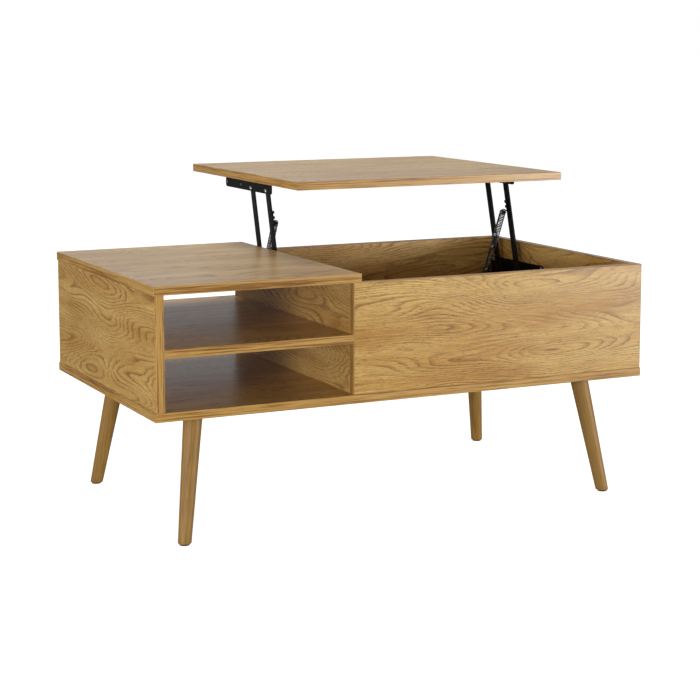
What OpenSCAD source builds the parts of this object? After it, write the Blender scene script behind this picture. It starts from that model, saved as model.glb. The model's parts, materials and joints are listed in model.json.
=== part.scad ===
/* [Carcass] */
// Width of the table over its fixed top and bottom board
table_w = 1000; // [950:10:1100]
// Depth of the table, the same for every horizontal board
table_d = 558; // [520:2:620]
// Thickness of every board
board_t = 16; // [15:1:18]
// Clear height between the bottom board and the fixed top
wall_h = 204; // [190:2:240]
// Length of the fixed top over the open shelf bay
fixed_top_w = 394; // [360:2:420]
// How far the boards stand proud of the end panels
end_overhang = 2; // [1:0.5:4]
// Height of the shelf's underside above the bottom board
shelf_rise = 94; // [60:2:110]

/* [Legs] */
// Height of the bottom board's underside above the floor
leg_h = 230; // [180:5:280]
// Diameter of a leg under the board
leg_top_d = 35; // [30:1:38]
// Diameter of a leg at the floor
leg_foot_d = 24; // [20:1:28]
// Distance of a foot's centre from the table's middle, along the width
foot_x = 438; // [420:2:450]
// Distance of a foot's centre from the table's middle, along the depth
foot_y = 247; // [225:1:250]
// How far a leg leans in over its height, along the width
splay_x = 35; // [20:1:45]
// How far a leg leans in over its height, along the depth
splay_y = 41; // [20:1:45]

/* [Lift top] */
// Gap between the fixed top and the lift top
top_gap = 5; // [3:1:8]
// Clearance of the lift top's right end inside the table's right end
lid_end_gap = 5; // [3:1:8]
// Gap between the closed lift top and the walls of the box
lid_rest_gap = 0.5; // [0.4:0.1:1.5]
// How far the lift top moves back as it opens
lift_y = 287; // [270:1:300]
// How far the lift top rises as it opens
lift_z = 141.5; // [130:0.5:150]

/* [Mechanism] */
// Lean of the raised arms behind the vertical, which holds the top up
over_centre = 16; // [12:1:18]
// Distance between the two pivots on one bracket
pivot_pitch = 77; // [70:1:84]
// Depth position of the front base pivot, behind the table's middle
front_pivot_y = 116.5; // [110:0.5:125]
// Drop of the top pivots below the lift top's underside
pivot_drop = 14.5; // [14:0.5:16]
// Width of an arm's channel
arm_w = 18; // [14:1:20]
// Sheet thickness of arms and brackets
steel_t = 2; // [1.5:0.5:2.5]
// Distance of the spring's hook from the front base pivot, along the arm
hook_reach = 178; // [168:1:185]
// Outer diameter of the spring
spring_d = 14; // [12:1:18]

/* [Hidden] */
$fn = 64;
half_w = table_w / 2;
half_d = table_d / 2;

// heights, from the floor up
bottom_z = leg_h;
wall_z = bottom_z + board_t;
top_z = wall_z + wall_h;
shelf_z = wall_z + shelf_rise;

// panels across the width
side_x = -half_w + end_overhang;
side_inner_x = side_x + board_t;
divider_inner_x = -half_w + fixed_top_w;
divider_x = divider_inner_x - board_t;
right_x = half_w - end_overhang;
right_inner_x = right_x - board_t;
front_inner_y = -half_d + board_t;
back_inner_y = half_d - board_t;
box_middle_x = (divider_inner_x + right_inner_x) / 2;

// the lift top, drawn raised
lid_x = divider_inner_x + top_gap;
lid_w = half_w - lid_end_gap - lid_x;
lid_z = top_z + lid_rest_gap + lift_z;
lid_y = -half_d + lift_y;

// parallel arms: the chord of their swing is the travel of the lift top
arm_turn = 2 * (90 + over_centre - atan2(lift_y, lift_z));
arm_len = norm([lift_y, lift_z]) / (2 * sin(arm_turn / 2));
top_pivot_z = lid_z - pivot_drop;
base_pivot_z = top_pivot_z - arm_len * cos(over_centre);
top_pivot_y = front_pivot_y + arm_len * sin(over_centre);

// layers of the mechanism, as distances from the wall that carries it
plate_u = 12;
washer_u = plate_u + steel_t;
arm_u = washer_u + 1;
arm_lip = 3.5;
play = 0.1;
rivet_head_u = arm_u + steel_t + play;
spring_u = 28;

// the notched plate on the front arm, its ends measured along the arm from the spring's hook
hook_plate_u = arm_u + steel_t;
hook_plate_w = 8.5;
hook_plate_t = 2.5;
hook_plate_below = 5;
hook_plate_above = 19;
notch_r = 3;
notch_pitch = 10.5;

// round fits
rivet_r = 3;
rivet_head_r = 5;
rivet_head_t = 2;
running_gap = 0.06;
washer_r = 7;

// spring, from its anchor on the base bracket to its hook on the front arm
anchor_y = front_pivot_y + 136.5;
anchor_z = base_pivot_z + 3;
spring_behind = 4;
hook_y = front_pivot_y + hook_reach * sin(over_centre) + spring_behind * cos(over_centre);
hook_z = base_pivot_z + hook_reach * cos(over_centre) - spring_behind * sin(over_centre);
spring_len = norm([hook_y - anchor_y, hook_z - anchor_z]);
spring_lean = atan2(anchor_y - hook_y, hook_z - anchor_z);
eye_r = 7;
eye_wire_r = 1.25;
neck_r = 2;
neck_from = eye_r + 0.5;
plug_from = 9;
plug_to = 14;
plug_tip_r = 3.5;
cap_from = 5;
cap_to = 8;
coil_wire = 2.4;
coil_len = spring_len - plug_to - cap_to;
anchor_head_t = 2;
hook_ring_r = spring_d / 2 - eye_wire_r;
anchor_end_u = spring_u + eye_wire_r + anchor_head_t + 0.75;

// brackets
base_plate_y = [50, 262];
base_plate_z = [base_pivot_z - 28, base_pivot_z + 59];
pivot_plate_y = [95, 262];
pivot_plate_top = base_pivot_z + 26;
top_plate_y = [153, 392];
top_plate_h = 20;
top_flange_w = 24;
corner_r = 6;

// screws and dowels
screw_r = 1.9;
screw_head_r = 4;
screw_head_t = 2;
screw_len = 12;
screw_spots = [[57, 53], [252, 53], [150, 53], [60, -20]];
lid_screw_y = [172, 272, 372];
lid_screw_u = 28;
screw_tip_ratio = 0.6;
flange_rivet_y = [307, 382];
flange_rivet_r = 2;
flange_rivet_head_r = 2.8;
flange_rivet_head_t = 1;
dowel_r = 4;
dowel_len = 30;
dowel_sunk = 10;
dowel_sunk_side = 8;
wall_dowel_y = 205;
box_dowel_x = 250;
shelf_dowel_y = 180;
corner_dowel_z = [wall_z + 54, top_z - 50];
cam_y = 150;
box_cam_x = 190;
cam_bolt_gap = 0.5;
cam_r = 7.5;
cam_depth = 12.5;
cam_rise = 24;
cam_bolt_r = 3;

// leg fittings
leg_plate = 70;
leg_plate_t = 2.5;
leg_screw_reach = 26;
leg_bolt_r = 4;
leg_bolt_sunk = 30;
leg_bolt_up = 12;
leg_spare = 20;
leg_lean = atan2(norm([splay_x, splay_y]), leg_h);
leg_slant = norm([splay_x, splay_y, leg_h]);
leg_azimuth = atan2(splay_y, splay_x);
leg_taper = (leg_top_d - leg_foot_d) / leg_slant;
glide_t = 2.5;
glide_r = 9;

// where boards meet
wall_centres = [side_x + board_t / 2, divider_x + board_t / 2, right_x - board_t / 2];
wall_dowels = [for (x = wall_centres, y = [-wall_dowel_y, wall_dowel_y]) [x, y]];
box_dowels = [
    for (s = [-1, 1], dx = [-box_dowel_x, box_dowel_x])
        [box_middle_x + dx, s * (half_d - board_t / 2)]
];
// each cam: x and y of its bolt, and the way its housing opens, as an angle about z
wall_cams = [
    for (i = [0, 1, 2], y = [-cam_y, cam_y]) [wall_centres[i], y, i == 2 ? 180 : 0]
];
box_cams = [
    for (s = [-1, 1], dx = [-box_cam_x, box_cam_x])
        [box_middle_x + dx, s * (half_d - board_t / 2), s < 0 ? 90 : -90]
];
// the fixed top sits on the left side panel and the divider only
top_dowels = [for (i = [0, 1, 2, 3]) wall_dowels[i]];
top_cams = [for (i = [0, 1, 2, 3]) wall_cams[i]];

LEFT = -1;
RIGHT = 1;

// ---- helpers -------------------------------------------------------------

// a board from its lowest to its highest corner
module board(low, high) {
    translate(low) cube(high - low);
}

// puts its children on the wall of one side, with x running away from the wall
module on_wall(side) {
    if (side == LEFT)
        translate([divider_inner_x, 0, 0]) children();
    else
        translate([right_inner_x, 0, 0]) mirror([1, 0, 0]) children();
}

// a cylinder along x, away from the wall
module along_u(from, to, r) {
    translate([from, 0, 0]) rotate([0, 90, 0]) cylinder(h = to - from, r = r);
}

// a flat sheet in the plane of the wall, its outline drawn as (y, z)
module sheet(from, thickness) {
    translate([from, 0, 0])
        rotate([90, 0, 90])
            linear_extrude(thickness) children();
}

// a rectangle whose lower corners, or all corners, are round
module rounded(y, z, r, lower_only = false) {
    translate([y[0] + r, z[0]]) square([y[1] - y[0] - 2 * r, z[1] - z[0]]);
    translate([y[0], z[0] + r])
        square([y[1] - y[0], z[1] - z[0] - (lower_only ? r : 2 * r)]);
    for (cy = [y[0] + r, y[1] - r], cz = lower_only ? [z[0] + r] : [z[0] + r, z[1] - r])
        translate([cy, cz]) circle(r = r);
}

// ---- joints between boards -------------------------------------------------

module upright_dowels() {
    for (p = concat(wall_dowels, box_dowels))
        translate([p.x, p.y, wall_z - dowel_sunk]) cylinder(h = dowel_len, r = dowel_r);
    for (p = top_dowels)
        translate([p.x, p.y, top_z + dowel_sunk - dowel_len])
            cylinder(h = dowel_len, r = dowel_r);
}

module front_and_back_dowels() {
    for (x = [wall_centres[1], wall_centres[2]], z = corner_dowel_z)
        translate([x, front_inner_y - dowel_sunk, z])
            rotate([-90, 0, 0]) cylinder(h = dowel_len, r = dowel_r);
    for (x = [divider_inner_x - dowel_sunk_side, right_inner_x + dowel_sunk_side - dowel_len])
        for (z = corner_dowel_z)
            translate([x, half_d - board_t / 2, z])
                rotate([0, 90, 0]) cylinder(h = dowel_len, r = dowel_r);
}

module shelf_end_dowels() {
    for (x = [side_inner_x - dowel_sunk_side, divider_x + dowel_sunk_side - dowel_len])
        for (y = [-shelf_dowel_y, shelf_dowel_y])
            translate([x, y, shelf_z + board_t / 2])
                rotate([0, 90, 0]) cylinder(h = dowel_len, r = dowel_r);
}

// from inside one board to the rim of the cam that draws it tight
module cam_bolt(p, from) {
    translate([p.x, p.y, from])
        cylinder(h = dowel_sunk + cam_rise - cam_r - cam_bolt_gap, r = cam_bolt_r);
}

module cam_bolt_rods() {
    for (p = concat(wall_cams, box_cams)) cam_bolt(p, wall_z - dowel_sunk);
    for (p = top_cams) cam_bolt(p, top_z - cam_rise + cam_r + cam_bolt_gap);
}

// one cam housing: it fills its hole from the board's face inward
module cam_body(p, z) {
    translate([p.x, p.y, z]) rotate([0, 0, p[2]])
        translate([board_t / 2 - cam_depth, 0, 0])
            rotate([0, 90, 0]) cylinder(h = cam_depth, r = cam_r);
}

module cam_bodies() {
    for (p = concat(wall_cams, box_cams)) cam_body(p, wall_z + cam_rise);
    for (p = top_cams) cam_body(p, top_z - cam_rise);
}

module joinery() {
    upright_dowels();
    front_and_back_dowels();
    shelf_end_dowels();
    cam_bolt_rods();
    cam_bodies();
}

// ---- screws ------------------------------------------------------------------

module base_screw_shanks() {
    for (side = [LEFT, RIGHT], p = screw_spots)
        on_wall(side) translate([0, p.x, base_pivot_z + p.y])
            along_u(-screw_len, steel_t, screw_r);
}

module lid_screw_shanks() {
    for (side = [LEFT, RIGHT], y = lid_screw_y)
        on_wall(side) translate([lid_screw_u, y, lid_z - steel_t])
            cylinder(h = steel_t + screw_len, r = screw_r);
}

// ---- boards ------------------------------------------------------------------

module bottom_panel() {
    color("#c69a5c") difference() {
        board([-half_w, -half_d, bottom_z], [half_w, half_d, wall_z]);
        upright_dowels();
        cam_bolt_rods();
        leg_bolt_rods();
        leg_screw_shanks();
    }
}

module left_side_panel() {
    color("#cba066") difference() {
        board([side_x, -half_d, wall_z], [side_inner_x, half_d, top_z]);
        joinery();
    }
}

module divider_panel() {
    color("#cba066") difference() {
        board([divider_x, front_inner_y, wall_z], [divider_inner_x, half_d, top_z]);
        joinery();
        base_screw_shanks();
    }
}

module right_side_panel() {
    color("#cba066") difference() {
        board([right_inner_x, front_inner_y, wall_z], [right_x, half_d, top_z]);
        joinery();
        base_screw_shanks();
    }
}

module front_panel() {
    color("#c99f63") difference() {
        board([divider_x, -half_d, wall_z], [right_x, front_inner_y, top_z]);
        joinery();
    }
}

module back_panel() {
    color("#c99f63") difference() {
        board([divider_inner_x, back_inner_y, wall_z], [right_inner_x, half_d, top_z]);
        joinery();
    }
}

module fixed_top() {
    color("#cfa56b") difference() {
        board([-half_w, -half_d, top_z], [divider_inner_x, half_d, top_z + board_t]);
        upright_dowels();
        cam_bolt_rods();
    }
}

module shelf() {
    color("#c99f63") difference() {
        board([side_inner_x, -half_d, shelf_z], [divider_x, half_d, shelf_z + board_t]);
        shelf_end_dowels();
    }
}

module lift_top() {
    color("#d2ab74") difference() {
        board([lid_x, lid_y, lid_z], [lid_x + lid_w, lid_y + table_d, lid_z + board_t]);
        lid_screw_shanks();
    }
}

// ---- legs --------------------------------------------------------------------

// puts its children at a foot, with z running up the leg's own axis
module at_leg(sx, sy) {
    mirror([sx < 0 ? 1 : 0, 0, 0]) mirror([0, sy < 0 ? 1 : 0, 0])
        translate([foot_x, foot_y, 0])
            rotate([0, 0, 180 + leg_azimuth]) rotate([0, leg_lean, 0]) children();
}

module every_leg() {
    for (sx = [-1, 1], sy = [-1, 1]) at_leg(sx, sy) children();
}

module leg_bolt_rods() {
    every_leg() translate([0, 0, leg_slant - leg_bolt_sunk])
        cylinder(h = leg_bolt_sunk + leg_bolt_up, r = leg_bolt_r);
}

module leg_screw_spots() {
    for (sx = [-1, 1], sy = [-1, 1], dx = [-1, 1], dy = [-1, 1])
        translate([
            sx * (foot_x - splay_x) + dx * leg_screw_reach,
            sy * (foot_y - splay_y) + dy * leg_screw_reach,
            bottom_z
        ]) children();
}

module leg_screw_shanks() {
    leg_screw_spots() translate([0, 0, -leg_plate_t])
        cylinder(h = leg_plate_t + screw_len, r = screw_r);
}

module leg(sx, sy) {
    color("#c08f4e") difference() {
        intersection() {
            at_leg(sx, sy) translate([0, 0, -leg_spare])
                cylinder(
                    h = leg_slant + 2 * leg_spare,
                    d1 = leg_foot_d - leg_spare * leg_taper,
                    d2 = leg_top_d + leg_spare * leg_taper
                );
            translate([-half_w, -half_d, glide_t])
                cube([table_w, table_d, bottom_z - leg_plate_t - glide_t]);
        }
        leg_bolt_rods();
    }
}

module leg_plates() {
    color("#8f9296") difference() {
        for (sx = [-1, 1], sy = [-1, 1])
            translate([
                sx * (foot_x - splay_x) - leg_plate / 2,
                sy * (foot_y - splay_y) - leg_plate / 2,
                bottom_z - leg_plate_t
            ]) cube([leg_plate, leg_plate, leg_plate_t]);
        leg_bolt_rods();
        leg_screw_shanks();
    }
}

module leg_bolts() {
    color("#a8abb0") leg_bolt_rods();
}

module leg_plate_screws() {
    color("#b4b7bc") {
        leg_screw_shanks();
        leg_screw_spots() translate([0, 0, -leg_plate_t - screw_head_t])
            cylinder(h = screw_head_t, r1 = screw_head_r * screw_tip_ratio, r2 = screw_head_r);
    }
}

module foot_glides() {
    color("#2b2b2b")
        for (sx = [-1, 1], sy = [-1, 1])
            translate([sx * foot_x, sy * foot_y, 0]) cylinder(h = glide_t, r = glide_r);
}

// ---- hidden board fittings ---------------------------------------------------

module cam_bolts() {
    color("#b4b7bc") cam_bolt_rods();
}

module cam_locks() {
    color("#9a9da1") cam_bodies();
}

module panel_dowels() {
    color("#d8b98a") upright_dowels();
}

module corner_dowels() {
    color("#d8b98a") front_and_back_dowels();
}

module shelf_dowels() {
    color("#d8b98a") shelf_end_dowels();
}

// ---- lift mechanism ----------------------------------------------------------

// puts its children at a pivot of the base, with z running up the raised arm
module at_arm(pivot) {
    translate([0, front_pivot_y + pivot * pivot_pitch, base_pivot_z])
        rotate([-over_centre, 0, 0]) children();
}

module at_top_pivot(pivot) {
    translate([0, top_pivot_y + pivot * pivot_pitch, top_pivot_z]) children();
}

// puts its children at the spring's anchor, with z running up the spring
module at_spring() {
    translate([spring_u, anchor_y, anchor_z]) rotate([spring_lean, 0, 0]) children();
}

module base_bracket(side) {
    color("#1b1b1d") on_wall(side) difference() {
        union() {
            sheet(0, steel_t) rounded(base_plate_y, base_plate_z, corner_r);
            sheet(plate_u, steel_t)
                rounded(pivot_plate_y, [base_plate_z[0], pivot_plate_top], corner_r);
            translate([0, pivot_plate_y[0] + corner_r, base_plate_z[0]])
                cube([washer_u, pivot_plate_y[1] - pivot_plate_y[0] - 2 * corner_r, steel_t]);
        }
        for (pivot = [0, 1])
            translate([0, front_pivot_y + pivot * pivot_pitch, base_pivot_z])
                along_u(plate_u - 1, washer_u + 1, rivet_r);
        translate([0, anchor_y, anchor_z]) along_u(plate_u - 1, washer_u + 1, rivet_r);
        for (p = screw_spots)
            translate([0, p.x, base_pivot_z + p.y]) along_u(-1, steel_t + 1, screw_r);
    }
}

module base_bracket_screws() {
    color("#c9ccd0") {
        base_screw_shanks();
        for (side = [LEFT, RIGHT], p = screw_spots)
            on_wall(side) translate([steel_t, p.x, base_pivot_z + p.y])
                rotate([0, 90, 0])
                    cylinder(h = screw_head_t, r1 = screw_head_r, r2 = screw_head_r * screw_tip_ratio);
    }
}

// a rivet through a bracket's plate, a washer and an arm
module rivet() {
    along_u(plate_u - rivet_head_t, plate_u, rivet_head_r);
    along_u(plate_u, rivet_head_u + rivet_head_t, rivet_r);
    along_u(rivet_head_u, rivet_head_u + rivet_head_t, rivet_head_r);
}

module washer() {
    difference() {
        along_u(washer_u, arm_u - play, washer_r);
        along_u(washer_u - 1, arm_u + 1, rivet_r);
    }
}

module base_rivets() {
    color("#c9ccd0")
        for (side = [LEFT, RIGHT], pivot = [0, 1])
            on_wall(side) at_arm(pivot) rivet();
}

module base_washers() {
    color("#7c7f84")
        for (side = [LEFT, RIGHT], pivot = [0, 1])
            on_wall(side) at_arm(pivot) washer();
}

module top_rivets() {
    color("#c9ccd0")
        for (side = [LEFT, RIGHT], pivot = [0, 1])
            on_wall(side) at_top_pivot(pivot) rivet();
}

module top_washers() {
    color("#7c7f84")
        for (side = [LEFT, RIGHT], pivot = [0, 1])
            on_wall(side) at_top_pivot(pivot) washer();
}

module spring_anchors() {
    color("#c9ccd0")
        for (side = [LEFT, RIGHT])
            on_wall(side) translate([0, anchor_y, anchor_z]) {
                along_u(plate_u - rivet_head_t, plate_u, rivet_head_r);
                along_u(plate_u, anchor_end_u, rivet_r);
                along_u(anchor_end_u - anchor_head_t, anchor_end_u, rivet_head_r);
            }
}

module top_bracket(side) {
    color("#1b1b1d") on_wall(side) difference() {
        union() {
            sheet(plate_u, steel_t)
                rounded(top_plate_y, [lid_z - top_plate_h, lid_z], corner_r, lower_only = true);
            translate([plate_u, top_plate_y[0], lid_z - steel_t])
                cube([top_flange_w, top_plate_y[1] - top_plate_y[0], steel_t]);
        }
        for (pivot = [0, 1]) at_top_pivot(pivot) along_u(plate_u - 1, washer_u + 1, rivet_r);
        flange_rivet_spots() along_u(plate_u - 1, washer_u + 1, flange_rivet_r);
        for (y = lid_screw_y)
            translate([lid_screw_u, y, lid_z - steel_t - 1]) cylinder(h = steel_t + 2, r = screw_r);
    }
}

module flange_rivet_spots() {
    for (y = flange_rivet_y) translate([0, y, lid_z - top_plate_h / 2]) children();
}

// small rivets through the upright part of each top bracket
module flange_rivets() {
    color("#c9ccd0")
        for (side = [LEFT, RIGHT])
            on_wall(side) flange_rivet_spots() {
                along_u(plate_u, washer_u, flange_rivet_r);
                for (u = [plate_u - flange_rivet_head_t, washer_u])
                    along_u(u, u + flange_rivet_head_t, flange_rivet_head_r);
            }
}

module lid_screws() {
    color("#c9ccd0") {
        lid_screw_shanks();
        for (side = [LEFT, RIGHT], y = lid_screw_y)
            on_wall(side) translate([lid_screw_u, y, lid_z - steel_t - screw_head_t])
                cylinder(h = screw_head_t, r1 = screw_head_r * screw_tip_ratio, r2 = screw_head_r);
    }
}

// a channel with round ends, open away from the wall
module arm(side, pivot) {
    color("#1e1e20") on_wall(side) at_arm(pivot) difference() {
        union() {
            sheet(arm_u, steel_t) {
                translate([-arm_w / 2, 0]) square([arm_w, arm_len]);
                for (z = [0, arm_len]) translate([0, z]) circle(d = arm_w);
            }
            for (y = [-arm_w / 2, arm_w / 2 - steel_t])
                translate([arm_u, y, 0]) cube([arm_lip, steel_t, arm_len]);
        }
        for (z = [0, arm_len])
            translate([0, 0, z]) along_u(arm_u - 1, arm_u + arm_lip, rivet_r + running_gap);
    }
}

// the notched plate on the front arm's channel that the spring hooks on
module hook_plate(side) {
    color("#232325") on_wall(side) at_arm(0) difference() {
        translate([hook_plate_u, -hook_plate_t / 2, hook_reach - hook_plate_below])
            cube([hook_plate_w, hook_plate_t, hook_plate_below + hook_plate_above]);
        for (i = [0, 1])
            translate([hook_plate_u + hook_plate_w, 0, hook_reach + i * notch_pitch])
                rotate([90, 0, 0]) cylinder(h = 2 * hook_plate_t, r = notch_r, center = true);
    }
}

// the lower end: a wire eye and the tapered plug that screws into the coil
module spring_eye() {
    rotate([0, 90, 0]) rotate_extrude() translate([eye_r, 0]) circle(r = eye_wire_r, $fn = 32);
    translate([0, 0, neck_from]) cylinder(h = plug_from - eye_r, r = neck_r);
    translate([0, 0, plug_from])
        cylinder(h = plug_to - plug_from, r1 = plug_tip_r, r2 = spring_d / 2);
}

// the upper end: a cap, and the half ring of wire that goes over it to the notched plate
module spring_hook() {
    translate([0, 0, cap_from]) cylinder(h = cap_to - cap_from, d = spring_d);
    translate([0, 0, hook_ring_r]) rotate([-90, 0, 0])
        rotate_extrude(angle = 180)
            translate([hook_ring_r, 0]) circle(r = eye_wire_r, $fn = 32);
}

module spring_lower_eye(side) {
    color("#3a3b3e") on_wall(side) at_spring() spring_eye();
}

module spring_upper_eye(side) {
    color("#3a3b3e") on_wall(side) at_spring()
        translate([0, 0, spring_len]) mirror([0, 0, 1]) spring_hook();
}

module spring_coil(side) {
    color("#55575b") on_wall(side) at_spring() translate([0, 0, plug_to])
        difference() {
            cylinder(h = coil_len, d = spring_d);
            translate([0, 0, -1]) cylinder(h = coil_len + 2, d = spring_d - 2 * coil_wire);
        }
}

// ---- assembly ------------------------------------------------------------------

bottom_panel();
left_side_panel();
divider_panel();
right_side_panel();
front_panel();
back_panel();
fixed_top();
shelf();
lift_top();
leg(-1, -1);  // leg_front_left
leg(1, -1);  // leg_front_right
leg(-1, 1);  // leg_back_left
leg(1, 1);  // leg_back_right
leg_plates();
leg_bolts();
leg_plate_screws();
foot_glides();
cam_bolts();
cam_locks();
panel_dowels();
corner_dowels();
shelf_dowels();
base_bracket(LEFT);  // base_bracket_left
base_bracket(RIGHT);  // base_bracket_right
base_bracket_screws();
base_rivets();
base_washers();
spring_anchors();
top_bracket(LEFT);  // top_bracket_left
top_bracket(RIGHT);  // top_bracket_right
lid_screws();
flange_rivets();
top_rivets();
top_washers();
arm(LEFT, 0);  // front_arm_left
arm(LEFT, 1);  // rear_arm_left
arm(RIGHT, 0);  // front_arm_right
arm(RIGHT, 1);  // rear_arm_right
hook_plate(LEFT);  // hook_plate_left
hook_plate(RIGHT);  // hook_plate_right
spring_lower_eye(LEFT);  // spring_lower_eye_left
spring_lower_eye(RIGHT);  // spring_lower_eye_right
spring_upper_eye(LEFT);  // spring_upper_eye_left
spring_upper_eye(RIGHT);  // spring_upper_eye_right
spring_coil(LEFT);  // spring_coil_left
spring_coil(RIGHT);  // spring_coil_right
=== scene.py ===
"""Lift top coffee table: the visual model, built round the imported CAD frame.

Boards, legs, hardware and springs are meshes made in code. Each sub-assembly is a class, and
each finish is a frozen dataclass that builds its own node material.
"""

import json
import logging
import math
from collections.abc import Iterable, Sequence
from dataclasses import dataclass, field
from enum import Enum

import bmesh
import bpy
from mathutils import Matrix, Vector


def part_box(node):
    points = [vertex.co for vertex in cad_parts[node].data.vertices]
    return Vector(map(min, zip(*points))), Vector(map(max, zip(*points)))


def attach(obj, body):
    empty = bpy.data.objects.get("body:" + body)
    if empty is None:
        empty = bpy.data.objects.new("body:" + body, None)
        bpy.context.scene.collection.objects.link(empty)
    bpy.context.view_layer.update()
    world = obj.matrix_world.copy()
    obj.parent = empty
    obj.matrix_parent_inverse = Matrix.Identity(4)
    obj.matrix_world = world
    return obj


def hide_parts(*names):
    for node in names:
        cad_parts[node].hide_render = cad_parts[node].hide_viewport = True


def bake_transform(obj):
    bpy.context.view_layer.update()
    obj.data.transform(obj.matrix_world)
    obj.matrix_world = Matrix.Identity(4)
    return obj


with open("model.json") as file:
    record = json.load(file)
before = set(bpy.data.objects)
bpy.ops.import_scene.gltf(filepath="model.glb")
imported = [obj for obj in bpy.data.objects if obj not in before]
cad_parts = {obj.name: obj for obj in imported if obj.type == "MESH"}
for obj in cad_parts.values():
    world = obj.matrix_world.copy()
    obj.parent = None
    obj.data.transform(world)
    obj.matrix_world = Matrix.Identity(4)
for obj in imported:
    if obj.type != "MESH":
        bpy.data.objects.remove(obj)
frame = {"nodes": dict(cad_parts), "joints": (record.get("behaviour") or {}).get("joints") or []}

LOG = logging.getLogger("lift_top_table")
MM = 0.001
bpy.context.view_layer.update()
JOINTS = {joint["name"]: joint for joint in frame["joints"]}
GRAIN = "grain"
SEED_SPREAD = 37.0


class Axis(Enum):
    """A direction of the table's own frame, as an index into a vector."""

    WIDTH = 0
    DEPTH = 1
    HEIGHT = 2


class Side(Enum):
    """The wall that carries a mechanism, and the way from it into the box."""

    LEFT = 1
    RIGHT = -1

    @property
    def word(self) -> str:
        """The side's name, as the CAD nodes and bodies spell it."""
        return self.name.lower()


# ---- colour and nodes ------------------------------------------------------------------------


def linear(colour: str) -> tuple[float, float, float, float]:
    """Turns an sRGB hex colour into a linear one.

    Args:
        colour: The colour as "#rrggbb".

    Returns:
        Linear red, green and blue, and full opacity.
    """
    channels = [int(colour[i : i + 2], 16) / 255 for i in (1, 3, 5)]
    curve = [c / 12.92 if c <= 0.04045 else ((c + 0.055) / 1.055) ** 2.4 for c in channels]
    return (curve[0], curve[1], curve[2], 1.0)


def add(
    tree: bpy.types.NodeTree, kind: str, inputs: dict[str | int, object] | None = None, **settings: object
) -> bpy.types.Node:
    """Adds one node to a tree.

    Args:
        tree: The node tree.
        kind: The node's type name, such as "ShaderNodeMath".
        inputs: Socket name or number to a value, or to the output socket that feeds it.
        settings: The node's own properties.

    Returns:
        The new node.
    """
    node = tree.nodes.new(kind)
    for name, value in settings.items():
        setattr(node, name, value)
    for socket, source in (inputs or {}).items():
        if isinstance(source, bpy.types.NodeSocket):
            tree.links.new(source, node.inputs[socket])
        else:
            node.inputs[socket].default_value = source
    return node


def ramp(
    tree: bpy.types.NodeTree, factor: bpy.types.NodeSocket, stops: Sequence[tuple[float, str]]
) -> bpy.types.NodeSocket:
    """Maps a factor to colours.

    Args:
        tree: The node tree.
        factor: The socket that drives the ramp.
        stops: Pairs of position and sRGB hex colour, in rising order.

    Returns:
        The ramp's colour socket.
    """
    node = add(tree, "ShaderNodeValToRGB", {0: factor})
    elements = node.color_ramp.elements
    while len(elements) < len(stops):
        elements.new(1.0)
    for element, (position, colour) in zip(elements, stops):
        element.position = position
        element.color = linear(colour)
    return node.outputs["Color"]


def new_material(name: str) -> tuple[bpy.types.Material, bpy.types.NodeTree, bpy.types.Node]:
    """Starts a node material.

    Args:
        name: The material's name.

    Returns:
        The material, its tree and its principled shader.
    """
    material = bpy.data.materials.new(name)
    material.use_nodes = True
    tree = material.node_tree
    return material, tree, tree.nodes["Principled BSDF"]


# ---- finishes --------------------------------------------------------------------------------


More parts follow.
